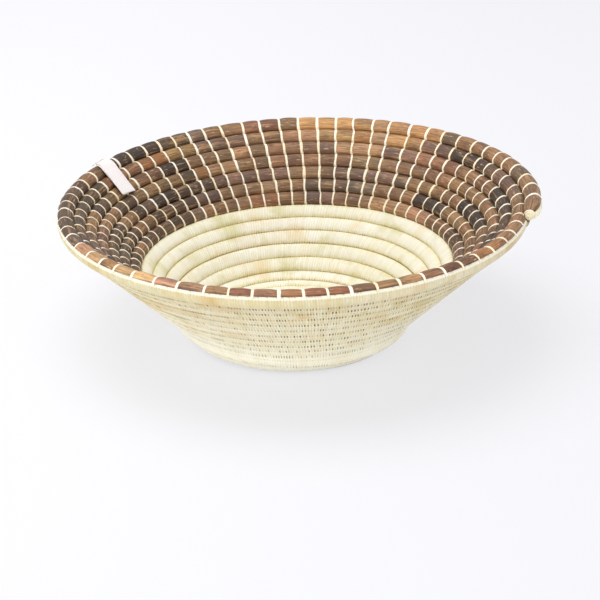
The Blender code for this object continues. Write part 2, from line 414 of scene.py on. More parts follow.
def bark_look():
    """Strips of bark. grain holds (metres along, metres across, number of the strip), tone
    its colour, and lump 0 where a stitch or crease draws it in and 1 where it stands proud."""
    look = Look("bark_fibres")
    run, across, strip = look.split(look.kept("grain", "Vector"))
    lump = look.kept("lump")

    def streaks(lengthways, sideways, shift, detail, roughness=0.5):
        own = look.math("ADD", look.times(strip, 1.73), shift)
        vector = look.vector((run, lengthways), (across, sideways), own)
        return look.noise(vector, detail=detail, roughness=roughness)

    fine = streaks(70, 2100, 0.0, 4, 0.62)
    broad = streaks(42, 620, 31.0, 3)
    cloud = streaks(55, 160, 77.0, 2)
    fleck = streaks(210, 1300, 53.0, 2)
    shades = {0.30: (0.40, 0.37, 0.34, 1), 0.50: PLAIN, 0.70: (1.75, 1.68, 1.55, 1)}
    colour = look.layers(
        look.kept("tone", "Color"),
        (1.0, look.ramp(fine, shades), "MULTIPLY"),
        (look.rise(broad, 0.54, 0.72, 0.55), srgb(198, 150, 96)),
        (look.rise(cloud, 0.50, 0.72, 0.50), srgb(82, 56, 42)),
        (look.rise(fleck, 0.60, 0.74, 0.60), srgb(212, 174, 132)),
        (look.fade(fleck, 0.28, 0.40, 0.60), srgb(58, 38, 28)),
        # painted shade where a tie or a crease draws the bark in
        (look.fade(lump, 0.0, 0.60, 0.78), srgb(48, 31, 20)),
    )
    height = look.math("ADD", fine, look.times(broad, 0.8))
    roughness = look.step(fine, 0.25, 0.75, 0.40, 0.66)
    return look.finish(colour, roughness, height, 0.00035, 0.8, specular=0.45)


def strand_look(name, pale, warm, fibres):
    """Single strands. strand holds (-1 to 1 across, metres along, number of the strand)."""
    look = Look(name)
    across, run, number = look.split(look.kept("strand", "Vector"))
    own = {0.0: warm, 0.45: pale, 1.0: srgb(255, 252, 242)}
    fibre = look.noise(look.vector((across, fibres), (run, 160), (number, 3.3)), detail=3)
    # painted shade: each strand is darker towards its edges
    edge = look.rise(look.math("ABSOLUTE", across), 0.7, 1.0, 0.30)
    colour = look.layers(
        look.ramp(look.chance(number, 2.0, 5.0), own),
        (1.0, look.ramp(fibre, {0.3: srgb(234, 222, 194), 0.6: PLAIN}), "MULTIPLY"),
        (edge, srgb(204, 172, 124)),
    )
    roughness = look.step(fibre, 0.2, 0.8, 0.42, 0.62)
    return look.finish(colour, roughness, fibre, 0.00018, 0.8, specular=0.4)


WARP_SPACING, WEFT_SPACING = 0.00045, 0.00038
SELVEDGE_START, SELVEDGE_FULL = 0.0052, 0.0056  # from the ribbon's middle


def cloth_look():
    """Plain woven ribbon. cloth holds (metres across, metres along, 0)."""
    look = Look("woven_ribbon")
    across, run, _ = look.split(look.kept("cloth", "Vector"))
    warp = look.math("SINE", look.times(across, tau / WARP_SPACING))
    weft = look.math("SINE", look.times(run, tau / WEFT_SPACING))
    weave = look.times(warp, weft)
    slub = look.noise(look.vector((across, 500), (run, 2600), 0.0))
    selvedge = look.rise(look.math("ABSOLUTE", across), SELVEDGE_START, SELVEDGE_FULL, 0.25)
    colour = look.layers(
        look.ramp(slub, {0.3: srgb(240, 231, 230), 0.65: srgb(251, 246, 245)}),
        (look.fade(weave, -1, 1, 0.12), srgb(220, 206, 202)),
        (selvedge, srgb(255, 252, 250)),
    )
    look.shader.inputs["Sheen Weight"].default_value = 0.15
    height = look.math("ADD", weave, look.times(selvedge, 4.0))
    return look.finish(colour, look.step(slub, 0.2, 0.8, 0.70, 0.90), height, 0.00006, 0.8)


# Cream coil rows

STITCH_WIDTH = 0.00165
INNER_RELIEF, OUTER_RELIEF = 0.00008, 0.00009  # how deep the grooves between stitches are
STITCH_SLANT = 0.30  # of its width, from one side of the coil to the other
SLANT_STATIONS = 8  # the slant grows over this many cross-sections from each end of a row
STITCH_PLACES = (0.0, 0.14, 0.5, 0.86)
STITCH_CROWN = (-1.0, -0.25, 0.0, -0.25)
START_STITCHES = 26
ROW_PRESS = 0.00003  # how far each row presses into the next
INNER_FILL, OUTER_FILL = 0.60, 0.74  # how far the stitches bridge the crease between rows
INNER_POWER, OUTER_POWER = 2.4, 2.2
UNDER_BARK = 0.88  # what is left of the coil's depth where bark lies on it
FINE_ANGLES = (0, 20, 40, 58, 72, 82, 88)
HIDDEN_ANGLES = (0, 40, 72, 88)
OUTER_ANGLES = (92, 106, 118, 130, 142, 155, 168, 180, -168, -156)
PRESSED_HEIGHT = 0.0003  # what would hang lower than this is pressed flat on the table
# Outside, the stitches of a row run on over the row below, down to its needle holes
HOLE_UP, HOLE_OUT = 0.778, 0.847
TUCK_UP, TUCK_OUT = 1.08, 0.55  # where they end inside the row, as shares of the holes' place
BRIDGE_STEPS = (0.22, 0.44, 0.64, 0.80, 0.91, 1.0)
BRIDGE_BULGE = 0.0005
BRIDGE_END = 0.00012  # how far off the row below the stitches go in
BRIDGE_AROUND = 0.75
# The coil's first tip, tucked down into the middle of its own first turn
TIP_PLACE = (0.0019, 0.0015)
TIP_LEVELS = (0.0010, 0.0022, 0.0040, 0.0058, 0.0070, 0.0077)
TIP_REACHES = (0.0030, 0.0040, 0.0045, 0.0041, 0.0028, 0.0006)  # its radius at each level
TIP_CORNERS, TIP_STITCHES, TIP_AROUND = 24, 12, 0.15


def coil_section(angles, number):
    """(up, inward) for each corner, as shares of half a pitch."""
    size = np.abs(angles)
    inside = size < 90
    from_face = np.where(inside, size, 180 - size)
    lift = np.sin(np.radians(from_face * 90 / FINE_ANGLES[-1]))
    fill = np.where(inside, INNER_FILL, OUTER_FILL)
    power = np.where(inside, INNER_POWER, OUTER_POWER)
    if number == TOTAL_ROWS:
        # Nothing lies above the rim, so the coil is round there
        fill = np.where(angles > 0, 0.0, fill)
        power = np.where(angles > 0, 2.0, power)
    depth = fill + (1 - fill) * np.sqrt(np.maximum(0, 1 - lift**power))
    if number >= FIRST_BARK_ROW:
        depth = np.where(inside, depth * UNDER_BARK, depth)
    return np.sign(angles) * lift, np.where(inside, depth, -depth)


def settle(points):
    """Presses what would lie below the table flat on it."""
    level = points[..., 2]
    pressed = PRESSED_HEIGHT * np.exp(np.minimum((level - PRESSED_HEIGHT) / PRESSED_HEIGHT, 0))
    points[..., 2] = np.where(level < PRESSED_HEIGHT, pressed, level)
    return points


def size_at(row):
    """The coil's size, which tapers over the bound end on the rim."""
    gone = np.clip((row - (TOTAL_ROWS - RIM_END_SHARE)) / RIM_END_SHARE, 0, 1)
    return RIM_END_TIP + (1 - RIM_END_TIP) * np.sqrt(np.maximum(0, 1 - gone**2))


def stitch_bridge(first, below, lift):
    """The stitches' ends, from these points down over the row below and into it, and how far
    above its needle holes they lie."""
    half = half_pitch(below)
    last = on_coil(below, HOLE_UP * half, -HOLE_OUT * half - BRIDGE_END)
    outwards = on_coil(below + 1, 0.0, -1.0) - on_coil(below + 1, 0.0, 0.0)
    control = (first + last) / 2 + outwards * BRIDGE_BULGE
    bridge = []
    for t in BRIDGE_STEPS:
        point = (1 - t) ** 2 * first + 2 * t * (1 - t) * control + t**2 * last
        bridge.append(point + outwards * (lift * OUTER_RELIEF * (1 - t / 2))[:, None])
    bridge.append(on_coil(below, HOLE_UP * TUCK_UP * half, -HOLE_OUT * TUCK_OUT * half))
    length = np.linalg.norm(first - last, axis=1)[:, None]
    return np.stack(bridge, 1), length * (1 - np.array([*BRIDGE_STEPS, 1.0]))


def insert(values, place, extra):
    return np.concatenate([values[:, :place], extra, values[:, place:]], 1)


def stitched_tube(number, row, lift, slant, bridged=True):
    """Points round the stitched coil, the share of the way round, and the distance up from
    the needle holes."""
    inner = HIDDEN_ANGLES if number >= FIRST_BARK_ROW else FINE_ANGLES
    angles = np.array([*inner, *OUTER_ANGLES, *(-angle for angle in inner[:0:-1])], float)
    up, inward = coil_section(angles, number)
    rows = row[:, None] + slant[:, None] * up
    # Along its length the coil is a little thicker here and thinner there
    swell = 1 + 0.010 * np.sin(rows * 41 + number) + 0.008 * np.sin(rows * 97 + 2 * number)
    relief = np.where(np.abs(angles) < 90, INNER_RELIEF, OUTER_RELIEF)
    reach = (half_pitch(rows) + ROW_PRESS) * swell + lift[:, None] * relief / np.hypot(up, inward)
    points = on_coil(rows, up * reach, inward * reach)
    around = np.broadcast_to(np.abs(angles) / 180, rows.shape)
    hem = np.full(rows.shape, NO_HEM)
    if bridged:
        place = len(inner) + len(OUTER_ANGLES)
        bridge, above = stitch_bridge(points[:, place - 1], rows[:, place - 1] - 1, lift)
        points = insert(points, place, bridge)
        around = insert(around, place, np.full(above.shape, BRIDGE_AROUND))
        hem = insert(hem, place, above)
    return settle(points), around, hem


def stitch_stations(count):
    """Where a run of this many stitches has its cross-sections, counted in stitches, which
    stitch each belongs to, and how high it stands, from -1 in a groove."""
    stitch = np.append(np.repeat(np.arange(count), len(STITCH_PLACES)), count)
    place = np.append(np.tile(STITCH_PLACES, count), 0)
    crown = np.append(np.tile(STITCH_CROWN, count), STITCH_CROWN[0])
    return stitch + place, stitch, crown


def weave_values(counted, around, number, hem=NO_HEM):
    """What raffia_look reads from the points."""
    *weave, hem = np.broadcast_arrays(counted, around, number, hem)
    return {"weave": np.stack(weave, -1), "hem": hem}


def make_raffia_row(number, material):
    rng = np.random.default_rng(100 + number)
    start = number - 1
    end = number - (RIM_END_SHARE if number == TOTAL_ROWS else 0)
    width = turn_share(STITCH_WIDTH, (start + end) / 2)
    count = round((end - start) / width)
    sizes = rng.uniform(0.8, 1.2, count)
    edges = start + (end - start) * np.concatenate([[0], np.cumsum(sizes)]) / sizes.sum()
    counted, stitch, crown = stitch_stations(count)
    row = np.interp(counted, np.arange(count + 1), edges)
    own = np.append(rng.normal(0, 0.3, count), 0)
    crown = crown + np.where(counted > stitch, own[stitch], 0)
    order = np.arange(len(row))
    from_end = np.minimum(order, order[::-1])
    slant = STITCH_SLANT * width * np.clip(from_end / SLANT_STATIONS, 0, 1)
    points, around, hem = stitched_tube(number, row, crown, slant)
    tubes = [(points, weave_values(counted[:, None], around, number, hem))]
    obj = make_piece(f"raffia_row_{number:02d}", material, tubes)
    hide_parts(f"coil_row_{number:02d}")


def make_start(material):
    """The tight first curl in the middle of the floor, wrapped in radial stitches."""
    rng = np.random.default_rng(7)
    counted, _, crown = stitch_stations(START_STITCHES)
    row = counted / START_STITCHES - 1
    crown = crown + rng.normal(0, 0.2, len(row))
    points, around, hem = stitched_tube(1, row, crown, np.zeros(len(row)), bridged=False)
    tubes = [(points, weave_values(counted[:, None], around, 0, hem))]
    turn, level = np.meshgrid(np.linspace(0, 1, TIP_CORNERS, endpoint=False), TIP_LEVELS)
    reach = np.array(TIP_REACHES)[:, None]
    across = TIP_PLACE[0] + reach * np.cos(tau * turn)
    back = TIP_PLACE[1] + reach * np.sin(tau * turn)
    tip = np.stack((across, back, level), -1)
    tubes.append((tip, weave_values(turn * TIP_STITCHES, TIP_AROUND, 0)))
    obj = make_piece("raffia_start", material, tubes)
    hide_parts("start_curl")


# The coil's end on the rim

WRAPS = 7
WRAP_PLACES = (0.0, 0.12, 0.3, 0.5, 0.7, 0.88)
WRAP_CROWN = (-1.0, -0.2, 0.6, 1.0, 0.6, -0.2)
WRAP_RELIEF = 0.00018
WRAP_SKEW = 0.07  # of the end's length, from one side of the coil to the other
TIP_ROUNDING = (0.75, 0.35)
TIE_SHARES = (0.95, 1.04, 1.13)  # where the last ties lie, as shares of the end's length
TIE_REACH = 1.16
TIE_TAIL = 0.0042  # how far their inner ends run down over the row below


def make_rim_wraps(material):
    """Raffia wound round the tapering end of the coil."""
    start = TOTAL_ROWS - RIM_END_SHARE
    turn = np.append((np.arange(WRAPS)[:, None] + WRAP_PLACES).ravel() / WRAPS, 1.0)[:, None]
    crown = np.append(np.tile(WRAP_CROWN, WRAPS), WRAP_CROWN[0])[:, None] * WRAP_RELIEF
    angles = np.arange(0, 360, 18.0)
    up, inward = np.sin(np.radians(angles)), np.cos(np.radians(angles))
    skew = WRAP_SKEW * np.sin(np.radians(angles + 40)) * (turn * (1 - turn) * 4)
    rows = start + RIM_END_SHARE * np.clip(turn + skew, 0, 1)
    size = size_at(start + RIM_END_SHARE * turn)
    # Inside it lies closer, beside the last of the bark
    under = np.where((inward > -0.1) & (turn < 0.9), 0.92, 1.04)
    reach = COIL_RADIUS * size * under + crown
    seat = -COIL_RADIUS * (1 - size)
    points = on_coil(rows, seat + up * reach, inward * reach)
    middle = points[-1].mean(0)
    rounds = [middle + (points[-1] - middle) * share for share in TIP_ROUNDING]
    points = np.concatenate([points, np.stack(rounds)])
    counted = np.append(turn * WRAPS, [WRAPS] * len(rounds))[:, None]
    around = np.minimum(angles, 360 - angles) / 180 * 0.2
    tubes = [(points, weave_values(counted, around, WRAPS_ROW))]
    obj = make_piece("rim_end_wraps", material, tubes)
    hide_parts("rim_end_binding")


def make_rim_ties(material):
    """The last turns of raffia, drawn down over the row below to hold the coil's tip."""
    rng = np.random.default_rng(17)
    tubes = []
    for index, share in enumerate(TIE_SHARES):
        row = TOTAL_ROWS - RIM_END_SHARE + RIM_END_SHARE * share
        small = size_at(row) if share < 1 else RIM_END_TIP * 0.7
        half, seat = COIL_RADIUS * small, -COIL_RADIUS * (1 - small)
        path = np.radians(np.linspace(-60, 150, 18))
        up = seat + half * TIE_REACH * np.sin(path)
        inward = half * TIE_REACH * np.cos(path)
        # The inner end runs down across the crease and over the row below
        tail = np.linspace(1, 0, 6, endpoint=False)
        up = np.concatenate([up[0] - TIE_TAIL * tail, up])
        sag = np.interp(tail, (0, 0.4, 1), (half * 0.58, 0.0036, 0.0058))
        inward = np.concatenate([sag, inward])
        lean = np.linspace(-0.0010, 0.0004, len(up)) + rng.normal(0, 0.0002)
        tubes.append(strand_along(row, up, inward, lean, 0.0020, 0.0005, 990.0 + index))
    make_piece("rim_end_ties", material, tubes)


# Bark and the tie stitches that hold it

TIE_AZIMUTHS = (
    1.4, 7.5, 14.5, 20.0, 24.8, 29.8, 34.8, 40.5, 45.9, 51.2, 56.6, 62.9, 67.5, 73.0, 78.1, 83.2,
    88.5, 93.8, 99.1, 104.3, 109.9, 115.1, 120.0, 125.0, 129.9, 135.1, 140.4, 146.1, 151.8, 157.6,
    162.9, 167.8, 172.6, 177.4, 182.5, 188.6, 194.8, 200.4, 206.8, 213.0, 218.6, 224.2, 230.2,
    236.6, 242.8, 249.4, 255.2, 260.5, 266.4, 272.2, 277.3, 282.7, 288.4, 294.2, 300.4, 306.3,
    311.5, 317.2, 323.2, 329.7, 335.3, 341.4, 347.4, 354.3,
)
TIE_WIDTH, TIE_HEIGHT = 0.0022, 0.00068
RIM_TIE_WIDTH = 0.0024
TIE_ANGLE, RIM_TIE_ANGLE = 84, 104
TIE_STATIONS = 17
WIDE_TIES = {(14, 23): 2.2, (14, 16): 1.4}  # (row, tie): times as wide as the rest
STRAND_ENDS = 0.5  # how wide a strand still is at its ends
RING = np.radians(np.arange(0, 360, 45.0))  # the corners of a strand
BARK_SWELL = 0.00120
PINCH_FACE = 0.00016
BARREL_POWER = 2.2
EDGE_ROOM = 0.002  # no tie lies nearer than this to where a row starts and ends, in rows
CLOSEST_TIES = 0.004  # in rows
# Under the label the bark swells less, this many degrees either side and this many rows down
PRESSED_SWELL, PRESSED_REACH, PRESSED_ROWS = 0.00085, 7.0, 4
LUMP_PLACES = (0.0, 0.035, 0.08, 0.15, 0.25, 0.38, 0.5, 0.62, 0.75, 0.85, 0.92, 0.965)
BARK_ANGLES = np.array((-90, -80, -67, -52, -36, -18, 0, 18, 36, 52, 67, 80, 90), float)
LINING_ANGLES = np.array((76, 40, 0, -40, -76), float)
LINING_WIDTH, LINING_DEPTH = 0.86, 0.00035  # share of the coil's height, and metres into it
HIDDEN_FRONT = (215, 347)  # the near rim hides the rows below it between these azimuths

TONES = {
    "black": srgb(60, 46, 37), "dark": srgb(88, 67, 50), "grey": srgb(102, 84, 68),
    "mauve": srgb(117, 88, 70), "brown": srgb(130, 97, 66), "olive": srgb(130, 99, 66),
    "rust": srgb(126, 80, 55), "red": srgb(136, 95, 67), "tan": srgb(158, 119, 80),
    "pink": srgb(162, 122, 90), "orange": srgb(158, 108, 64), "gold": srgb(170, 127, 79),
    "pale": srgb(200, 148, 116), "straw": srgb(206, 164, 114),
}
# Strips of bark along each row: where each one starts, going clockwise, and its tone. The
# front of the lower rows is left to chance.
STRIPS = {
    18: "360 brown 341 tan 330 orange 317 red 311 rust 306 red 300 tan 288 brown 283 rust"
    " 272 orange 266 red 260 rust 255 tan 249 pink 243 pale 237 straw 224 gold 218 straw 212 pink"
    " 206 grey 200 dark 164 brown 152 black 131 dark 120 grey 115 brown 104 red 93 tan 88 gold"
    " 67 tan 60 gold 46 dark 40 brown 14 grey 5 brown",
    17: "215 dark 190 grey 172 dark 158 red 141 orange 131 gold 120 mauve 105 brown 95 tan"
    " 85 gold 72 orange 67 pink 60 gold 50 mauve 40 black 24 dark 20 mauve 0 mauve",
    16: "215 grey 185 brown 170 dark 160 olive 146 red 132 black 126 olive 110 tan 104 olive"
    " 98 red 80 mauve 75 pink 60 mauve 50 red 36 brown 22 red 12 black 0 grey",
    15: "215 dark 196 mauve 176 brown 160 dark 150 olive 141 brown 131 dark 126 orange 120 tan"
    " 110 brown 100 red 84 brown 70 olive 60 brown 44 red 30 olive 14 brown",
    14: "215 grey 190 dark 168 brown 156 dark 146 black 131 dark 116 mauve 90 brown 78 mauve"
    " 56 grey 46 olive 26 red 20 black 0 dark",
    13: "215 dark 186 grey 172 dark 162 brown 150 dark 126 mauve 116 brown 104 pink 98 brown"
    " 85 dark 72 grey 58 brown 43 black 26 tan 8 brown",
    12: "215 grey 196 dark 176 brown 166 dark 131 mauve 126 olive 108 orange 96 olive 85 mauve"
    " 75 brown 66 tan 44 pink 30 red 16 dark",
}
# How often each tone comes where the photograph does not show one
TONE_CHANCES = {
    "black": 0.08, "dark": 0.2, "grey": 0.12, "mauve": 0.12, "brown": 0.18,
    "olive": 0.1, "red": 0.12, "tan": 0.06, "orange": 0.02,
}


def tone_at(number, azimuth):
    """The tone of the bark here, or None where it is left to chance."""
    azimuth = azimuth % 360
    if number < TOTAL_ROWS and HIDDEN_FRONT[0] < azimuth < HIDDEN_FRONT[1]:
        return None
    words = STRIPS[number].split()
    tones = [tone for start, tone in zip(words[::2], words[1::2]) if azimuth <= float(start)]
    return tones[-1] if tones else None


def any_tone(rng):
    return list(TONE_CHANCES)[rng.choice(len(TONE_CHANCES), p=list(TONE_CHANCES.values()))]


def place_ties():
    """For each row, the azimuths where its tie stitches cross its middle and the creases
    above and below it. A column of ties moves on a little from each row to the next."""
    rng = np.random.default_rng(55)
    rim = np.array(TIE_AZIMUTHS)
    lean = 0.58 + 0.16 * np.cos(np.radians(rim))
    numbers = range(FIRST_BARK_ROW, TOTAL_ROWS + 1)
    middles = {n: rim - lean * (TOTAL_ROWS - n) + rng.normal(0, 0.16, len(rim)) for n in numbers}
    ties = {}
    for n in numbers:
        above = (middles[n] + middles[n + 1]) / 2 if n < TOTAL_ROWS else middles[n] + lean / 2
        below = (middles[n] + middles[n - 1]) / 2 if n > FIRST_BARK_ROW else middles[n] - lean / 2
        ties[n] = (below, middles[n], above)
    return ties


TIES = place_ties()


def bark_edges():
    """Every place along the coil, in rows, where a tie pinches the bark, and its two ends."""
    places = [FIRST_BARK_ROW - 1.0, float(TOTAL_ROWS)]
    for number, (_, middles, _) in TIES.items():
        rows = row_at(number, middles)
        places += list(rows[rows < LAST_TIE])
    places = np.sort(places)
    keep = np.append(np.diff(places) > CLOSEST_TIES, True)
    return places[keep]


BARK_EDGES = bark_edges()
FULLNESS = np.random.default_rng(91).uniform(0.70, 1.02, len(BARK_EDGES))


def barrel_at(row):
    """How far the bark stands out here: 0 under a tie, 1 half way to the next."""
    index = np.clip(np.searchsorted(BARK_EDGES, row, side="right") - 1, 0, len(BARK_EDGES) - 2)
    share = (row - BARK_EDGES[index]) / (BARK_EDGES[index + 1] - BARK_EDGES[index])
    share = np.clip(share, 0, 1)
    return np.sqrt(np.maximum(0, 1 - np.abs(2 * share - 1) ** BARREL_POWER)), index


def swell_at(number, row, index):
    """How thick the bark's swelling is here, after that many ties. The label presses on it."""
    swell = BARK_SWELL * FULLNESS[index]
    from_label = np.abs((SEAM_AZIMUTH - 360 * row - LABEL_AZIMUTH + 180) % 360 - 180)
    pressed = (from_label < PRESSED_REACH) & (number > TOTAL_ROWS - PRESSED_ROWS)
    return np.where(pressed, np.minimum(swell, PRESSED_SWELL), swell)


def face_point(angle, number, row, half, lump, swell):
    """(up, inward) on the bark's face, at an angle from the middle of the inner face. Round the
    sides the strips are rounder, and at the back they lie flatter."""
    turn = np.radians(angle)
    sine, cosine = np.sin(turn), np.cos(turn)
    flat = np.clip(np.sin(azimuth_at(row)), 0, 1) ** 1.5
    up_reach = half * (0.975 + 0.04 * lump)
    up = up_reach * np.sign(sine) * np.abs(sine) ** (0.84 - 0.28 * flat)
    if number == TOTAL_ROWS:
        crest = half + PINCH_FACE * 0.6 + swell * 0.75 * lump
        up = np.where(angle > 0, crest * sine, up)
    face = half + PINCH_FACE + swell * lump
    inward = face * np.sign(cosine) * np.abs(cosine) ** (0.74 - 0.28 * flat)
    return up, inward


def bark_strips(number, edges, rng):
    """The tone of each strip of bark along a row, and the spaces between ties that it spans."""
    strips, current, left = [], "", 0
    for index, middle in enumerate((edges[:-1] + edges[1:]) / 2):
        tone = tone_at(number, SEAM_AZIMUTH - 360 * middle)
        if tone == current and left > 0:
            strips[-1][1].append(index)
            left -= 1
            continue
        left = rng.integers(2, 7)
        current = tone
        strips.append([tone or any_tone(rng), [index]])
    return strips


def bark_stations(number, edges, spaces, rng):
    """Where a strip has its cross-sections, in rows, and how light it is in each space."""
    row, glow = [], []
    for index in spaces:
        places = np.array(LUMP_PLACES if index < spaces[-1] else (*LUMP_PLACES, 1.0))
        row.append(edges[index] + (edges[index + 1] - edges[index]) * places)
        glow.append(np.full(len(places), rng.uniform(0.66, 1.20)))
    row, glow = np.concatenate(row), np.concatenate(glow)
    if number == TOTAL_ROWS:
        # The last strip stops just short of the tip
        row = np.minimum(row, TOTAL_ROWS - 0.08 * RIM_END_SHARE)
        row = row + np.arange(len(row)) * 1e-7
    return row, glow


def bark_section(number, row, rng):
    """(up, inward) round a strip, its ridged and wavy face first and then its lining, and how
    far it stands out here."""
    lump, index = barrel_at(row)
    size = size_at(row)
    half = half_pitch(row) * size
    seat = -half_pitch(row) * (1 - size)
    ridges = rng.normal(0, 0.00006, len(BARK_ANGLES))
    ridges[[0, -1]] = 0
    waves = np.sin(row * 260 + rng.uniform(0, 6)) * 0.00003
    swell = swell_at(number, row, index) + (rng.uniform(-0.00004, 0.00008) + ridges + waves)
    up, inward = face_point(BARK_ANGLES, number, row, half, lump, swell)
    lining = np.radians(LINING_ANGLES)
    up = np.concatenate([up, half * LINING_WIDTH * np.sin(lining)], 1) + seat
    inward = np.concatenate([inward, (half - LINING_DEPTH) * np.cos(lining)], 1)
    return up, inward, lump


def make_bark_row(number, material):
    rng = np.random.default_rng(300 + number)
    inside = (BARK_EDGES > number - 1 + EDGE_ROOM) & (BARK_EDGES < number - EDGE_ROOM)
    edges = np.concatenate([[number - 1], BARK_EDGES[inside], [number]])
    radius = coil_middle(np.asarray(number - 0.5))[0]
    angles = np.radians(np.concatenate([BARK_ANGLES, LINING_ANGLES]))
    crease = np.abs(np.cos(angles)) ** 0.32
    if number == TOTAL_ROWS:
        crease = np.where(angles > 0, 1.0, crease)
    tubes = []
    for index, (tone, spaces) in enumerate(bark_strips(number, edges, rng)):
        row, glow = bark_stations(number, edges, spaces, rng)
        up, inward, lump = bark_section(number, row[:, None], rng)
        run = (row - row[0]) * tau * radius
        grain = np.broadcast_arrays(run[:, None], angles * COIL_RADIUS, number * 50.0 + index)
        shade = np.array(TONES[tone])
        shade[:3] *= rng.uniform(0.92, 1.08) * (1 + rng.normal(0, 0.03, 3))
        colour = np.broadcast_to(shade, (*up.shape, 4)).copy()
        colour[..., :3] *= glow[:, None, None]
        # lump also sets painted shade in the bark's creases and under its ties
        depth = (0.25 + 0.75 * lump) * crease
        values = {"grain": np.stack(grain, -1), "tone": colour, "lump": depth}
        tubes.append((on_coil(row[:, None], up, inward), values))
    obj = make_piece(f"bark_row_{number:02d}", material, tubes)
    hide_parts(f"bark_strip_{number:02d}")


def across_path(up, off):
    """The length of each step along this line, and the direction square to it."""
    step_up, step_off = np.gradient(up, axis=0), np.gradient(off, axis=0)
    length = np.maximum(np.hypot(step_up, step_off), 1e-9)
    return length, -step_off / length, step_up / length


def strand_values(run, number):
    """What strand_look reads from the points."""
    return {"strand": np.stack(np.broadcast_arrays(np.cos(RING), run[:, None], number), -1)}


def strand_along(row, up, inward, sideways, width, height, number):
    """A flat strand laid on the coil's surface through these (up, inward) places at this row.
    sideways moves it along the coil, in metres."""
    up, inward, sideways = up[:, None], inward[:, None], sideways[:, None]
    length, out_up, out_in = across_path(up, inward)
    if (out_up * up + out_in * inward).mean() < 0:
        out_up, out_in = -out_up, -out_in
    share = np.linspace(-1, 1, len(up))[:, None]
    belly = STRAND_ENDS + (1 - STRAND_ENDS) * np.sqrt(1 - share**2)
    side = width / 2 * belly * np.cos(RING)
    # Its underside is flatter than its face
    raised = height / 2 * np.where(np.sin(RING) > 0, np.sin(RING), 0.6 * np.sin(RING))
    off = (0.00010 + 0.00014 * belly) + raised * (0.55 + 0.45 * belly)
    rows = row + turn_share(1.0, row) * (sideways + side)
    points = on_coil(rows, up + out_up * off, inward + out_in * off)
    return points, strand_values(np.cumsum(length), number)


def make_ties(number, material):
    rng = np.random.default_rng(700 + number)
    tubes = []
    rim = number == TOTAL_ROWS
    path = np.linspace(-TIE_ANGLE, RIM_TIE_ANGLE if rim else TIE_ANGLE, TIE_STATIONS)
    radius = coil_middle(np.asarray(number - 0.5))[0]
    for index, (below, middle, above) in enumerate(zip(*TIES[number])):
        row = row_at(number, middle)
        wanted = rng.uniform(0.74, 1.28) * WIDE_TIES.get((number, index), 1.0)
        if row > LAST_TIE:
            continue
        half = half_pitch(row)
        up, inward = face_point(path, number, row, half, 0.0, 0.0)
        height = np.clip(up / half, -1, 1)
        # Clockwise is forwards along the coil, so a smaller azimuth is further on
        shift = np.where(height < 0, (middle - below) * -height, (middle - above) * height)
        sideways = np.radians(shift) * radius
        width = (RIM_TIE_WIDTH if rim else TIE_WIDTH) * wanted
        strand = strand_along(row, up, inward, sideways, width, TIE_HEIGHT, number * 80.0 + index)
        tubes.append(strand)
    make_piece(f"tie_stitches_{number:02d}", material, tubes)


# The folded label, left blank, and the thread that sews it to the rim

CLOTH_THICKNESS, CLOTH_MARGIN = 0.00024, 0.00005
CLOTH_STEPS, FOLD_STEPS, CLOTH_COLUMNS = 40, 7, 17
FOLD_ANGLE = 75
UNDER_SHORTER = 0.0008  # the layer underneath ends this far short of the upper one
UPPER_TURN, UNDER_TURN = 9.0, 3.5  # how far each layer has turned in its own plane
TURN_STARTS = 0.006  # the turn slides the cloth along from this far below the fold
CLOTH_LIFT = 0.0006  # how far the upper layer's end stands off
CLOTH_RIPPLE, RIPPLE_STARTS = 0.00016, 0.010
SEWING_ROOM = 0.0005
SEWING_SHARE = 0.4  # of the way that the turn moves the fold to one side
LAID_STATIONS, STITCH_STATIONS, SEWN_STITCHES = 24, 12, 6
LAID_RADIUS, SEWN_RADIUS = 0.00038, 0.00028
STITCH_HUMP, STITCH_SUNK = 0.00085, 0.0003


def label_axes():
    """The label's place, as in the CAD model: middle of the rim row, axes and the bark's height."""
    row = row_at(TOTAL_ROWS, LABEL_AZIMUTH)
    middle = Vector(on_coil(row, 0.0, 0.0))
    covered = round(LABEL_LENGTH / COIL_PITCH)
    up_wall = (middle - Vector(on_coil(row - covered, 0.0, 0.0))).normalized()
    azimuth = azimuth_at(row)
    along_rim = Vector((sin(azimuth), -cos(azimuth), 0))
    off_wall = along_rim.cross(up_wall)
    highest = max(
        (Vector(on_coil(row - i, 0.0, 0.0)) - middle).dot(off_wall) for i in range(covered + 1)
    )
    swell = (float(pitch_at(row, azimuth)) - ROW_GAP) / 2 / COIL_RADIUS
    axes = np.array((along_rim, up_wall, off_wall))
    return np.array(middle), axes, BARK_FACE * swell + highest


def label_line(reach, length):
    """(up, off, distance) down one layer from its sewn edge, which lies at this distance from
    the rim row's middle."""
    top = radians(LABEL_TOP_ANGLE)
    bent = top * reach
    places = np.linspace(0, length, CLOTH_STEPS)
    angle = top - np.minimum(places, bent) / reach
    up = reach * np.sin(angle) - np.maximum(places - bent, 0)
    return up, reach * np.cos(angle), places


